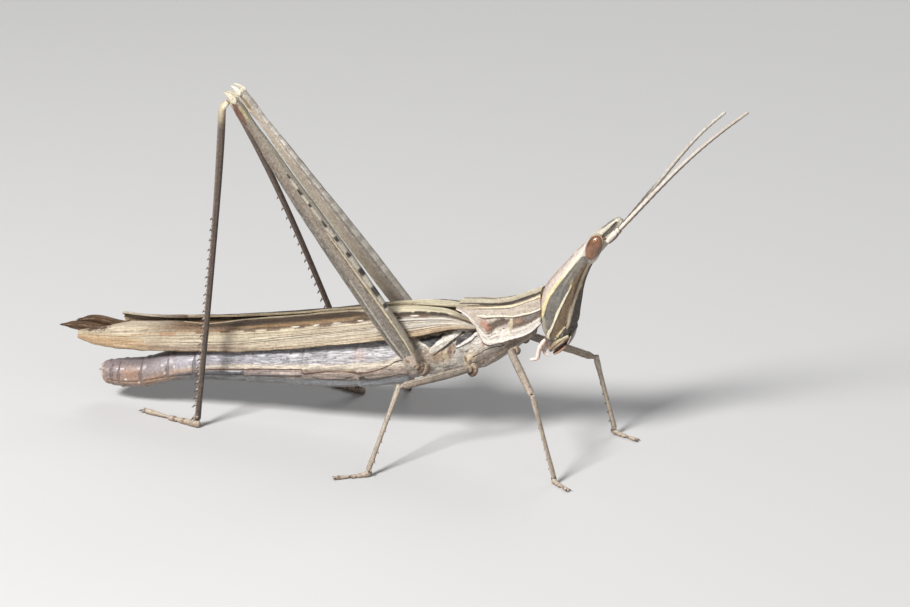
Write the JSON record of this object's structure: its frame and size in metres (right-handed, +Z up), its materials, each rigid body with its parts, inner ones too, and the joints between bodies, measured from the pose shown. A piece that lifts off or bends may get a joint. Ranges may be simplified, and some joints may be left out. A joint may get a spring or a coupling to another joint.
{
  "type": "grasshopper",
  "caption": "Life-size still model of a slender slant-faced grasshopper, standing, with raised hind legs, folded straw-coloured wings and long flat feelers.",
  "frame": {"origin": "centre of the model's bounding box, on the floor it stands on", "axes": "+X towards the head, +Y to the animal's left, +Z up"},
  "size_m": [0.0984, 0.0368, 0.0524],
  "materials": {
    "head_shell": "satin shell, olive brown with cream lines",
    "eye": "glossy reddish brown",
    "jaw_shell": "satin reddish brown",
    "palp_shell": "pale pink",
    "feeler_shell": "pinkish grey with a darker groove",
    "joint_skin": "pale skin between the shells",
    "saddle_shell": "cream and black stripes over pinkish grey",
    "trunk_shell": "slanting cream bands with dark patches",
    "belly_shell": "lavender white, finely wrinkled, with brown creases",
    "fore_wing": "straw-coloured and leathery, with lengthwise veins",
    "hind_wing": "dark brown pleated film",
    "walking_leg": "greyish tan",
    "thigh_shell": "greyish brown with cream ridges and black dashes",
    "shin_shell": "mauve brown with pale spines",
    "foot_shell": "tan with dark claws"
  },
  "bodies": {
    "root": {"head": "head_shell", "eye_right": "eye", "eye_left": "eye", "labrum": "jaw_shell", "mandible_right": "jaw_shell", "mandible_left": "jaw_shell", "palp_right": "palp_shell", "palp_left": "palp_shell", "scape_right": "feeler_shell", "scape_left": "feeler_shell", "antenna_right": "feeler_shell", "antenna_left": "feeler_shell", "neck": "joint_skin", "pronotum": "saddle_shell", "prothorax": "trunk_shell", "mesothorax": "trunk_shell", "metathorax": "trunk_shell", "abdomen_1": "belly_shell", "abdomen_2": "belly_shell", "abdomen_3": "belly_shell", "abdomen_4": "belly_shell", "abdomen_5": "belly_shell", "abdomen_6": "belly_shell", "abdomen_7": "belly_shell", "abdomen_8": "belly_shell", "ovipositor_upper": "belly_shell", "ovipositor_lower": "belly_shell", "tegmen_right": "fore_wing", "tegmen_left": "fore_wing", "hindwing_right": "hind_wing", "hindwing_left": "hind_wing", "fore_coxa_right": "trunk_shell", "fore_coxa_left": "trunk_shell", "mid_coxa_right": "trunk_shell", "mid_coxa_left": "trunk_shell", "hind_coxa_right": "trunk_shell", "hind_coxa_left": "trunk_shell", "fore_femur_right": "walking_leg", "fore_femur_left": "walking_leg", "fore_tibia_right": "walking_leg", "fore_tibia_left": "walking_leg", "mid_femur_right": "walking_leg", "mid_femur_left": "walking_leg", "mid_tibia_right": "walking_leg", "mid_tibia_left": "walking_leg", "hind_femur_right": "thigh_shell", "hind_femur_left": "thigh_shell", "hind_tibia_right": "shin_shell", "hind_tibia_left": "shin_shell", "fore_tarsus_right": "foot_shell", "fore_tarsus_left": "foot_shell", "mid_tarsus_right": "foot_shell", "mid_tarsus_left": "foot_shell", "hind_tarsus_right": "foot_shell", "hind_tarsus_left": "foot_shell"}
  },
  "joints": []
}
